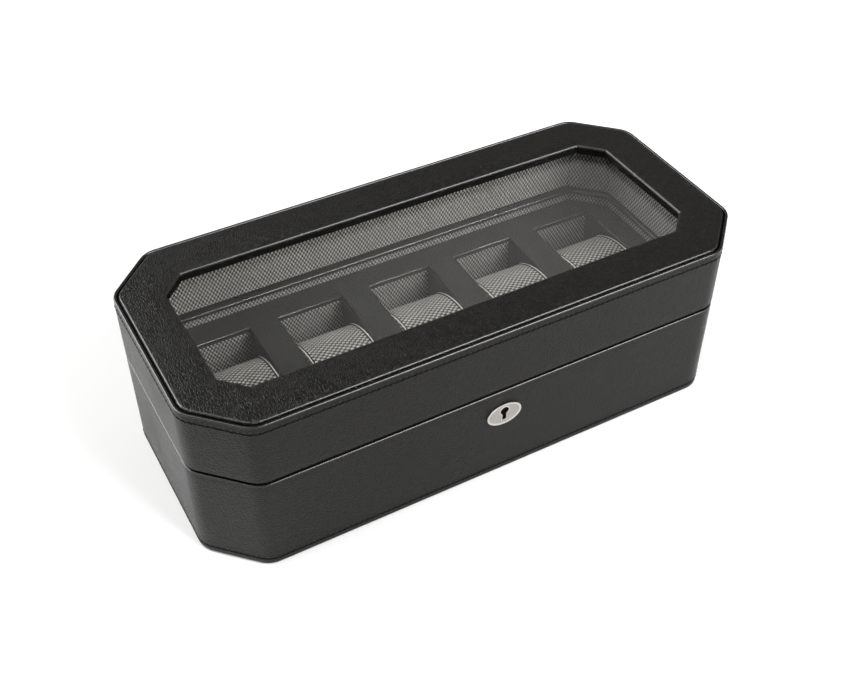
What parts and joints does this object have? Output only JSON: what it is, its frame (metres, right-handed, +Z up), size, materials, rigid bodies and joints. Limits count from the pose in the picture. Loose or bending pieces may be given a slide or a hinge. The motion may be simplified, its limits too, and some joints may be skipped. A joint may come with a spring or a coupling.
{
  "type": "watch box",
  "caption": "Long eight-sided leather watch box with a hinged glass-topped lid, a sunk tray of crowned watch cushions, woven linings and a small lock.",
  "frame": {"origin": "middle of the underside, on the surface that the box stands on", "axes": "+X along the length, to the right seen from the lock; -Y towards the lock; +Z up"},
  "size_m": [0.362, 0.171, 0.114],
  "materials": {
    "black_leather": "fine pebble grain, low sheen",
    "rim_leather": "smooth, low sheen",
    "suede_cloth": "short nap, matt",
    "diamond_cloth": "raised diamond weave, soft sheen",
    "cushion_cloth": "raised diamond weave, soft sheen",
    "foam": "firm upholstery foam",
    "felt": "pressed felt",
    "wood_board": "black-stained fibre board",
    "window_glass": "clear, polished",
    "satin_nickel": "satin nickel plate",
    "plated_steel": "nickel plated steel",
    "bolt_brass": "plain brass"
  },
  "bodies": {
    "base": {"base_leather_wrap": "black_leather", "base_rim_trim": "rim_leather", "tray_floor": "suede_cloth", "tray_top_panel": "suede_cloth", "tray_divider_1": "suede_cloth", "tray_divider_2": "suede_cloth", "tray_divider_3": "suede_cloth", "tray_divider_4": "suede_cloth", "tray_end_blocks": "suede_cloth", "tray_front_rail": "suede_cloth", "tray_back_rail": "suede_cloth", "base_well_lining": "diamond_cloth", "tray_wall_linings": "diamond_cloth", "base_bottom_board": "wood_board", "base_front_board": "wood_board", "base_back_board": "wood_board", "base_left_board": "wood_board", "base_right_board": "wood_board", "base_corner_boards": "wood_board", "lock_case": "plated_steel", "lock_cover": "plated_steel", "lock_key_post": "plated_steel", "lock_spring": "plated_steel", "lock_screws": "plated_steel", "left_hinge_base_leaf": "plated_steel", "right_hinge_base_leaf": "plated_steel", "hinge_pins": "plated_steel", "hinge_base_screws": "plated_steel", "underside_felt": "felt", "keyhole_plate": "satin_nickel"},
    "lid": {"lid_front_board": "wood_board", "lid_back_board": "wood_board", "lid_left_board": "wood_board", "lid_right_board": "wood_board", "lid_corner_boards": "wood_board", "lid_top_board": "wood_board", "lid_leather_wrap": "black_leather", "lid_top_leather": "black_leather", "window_glass": "window_glass", "glass_retainer": "rim_leather", "lid_lining": "diamond_cloth", "lid_rim_trim": "rim_leather", "lock_strike": "plated_steel", "strike_screws": "plated_steel", "left_hinge_lid_leaf": "plated_steel", "right_hinge_lid_leaf": "plated_steel", "hinge_lid_screws": "plated_steel"},
    "lock_bolt": {"lock_bolt": "bolt_brass"},
    "cushion_1": {"cushion_1_cover": "cushion_cloth", "cushion_1_core": "foam"},
    "cushion_2": {"cushion_2_cover": "cushion_cloth", "cushion_2_core": "foam"},
    "cushion_3": {"cushion_3_cover": "cushion_cloth", "cushion_3_core": "foam"},
    "cushion_4": {"cushion_4_cover": "cushion_cloth", "cushion_4_core": "foam"},
    "cushion_5": {"cushion_5_cover": "cushion_cloth", "cushion_5_core": "foam"}
  },
  "joints": [
    {"name": "lid_hinge", "type": "hinge", "parent": "base", "child": "lid", "pos_m": [0, 0.0846, 0.0692], "axis": [-1, 0, 0], "range_deg": [0, 100]},
    {"name": "lock_bolt_slide", "type": "slide", "parent": "base", "child": "lock_bolt", "axis": [1, 0, 0], "range_m": [0, 0.0045]},
    {"name": "cushion_1_lift", "type": "slide", "parent": "base", "child": "cushion_1", "axis": [0, 0, 1], "range_m": [0, 0.041]},
    {"name": "cushion_2_lift", "type": "slide", "parent": "base", "child": "cushion_2", "axis": [0, 0, 1], "range_m": [0, 0.041]},
    {"name": "cushion_3_lift", "type": "slide", "parent": "base", "child": "cushion_3", "axis": [0, 0, 1], "range_m": [0, 0.041]},
    {"name": "cushion_4_lift", "type": "slide", "parent": "base", "child": "cushion_4", "axis": [0, 0, 1], "range_m": [0, 0.041]},
    {"name": "cushion_5_lift", "type": "slide", "parent": "base", "child": "cushion_5", "axis": [0, 0, 1], "range_m": [0, 0.041]}
  ]
}
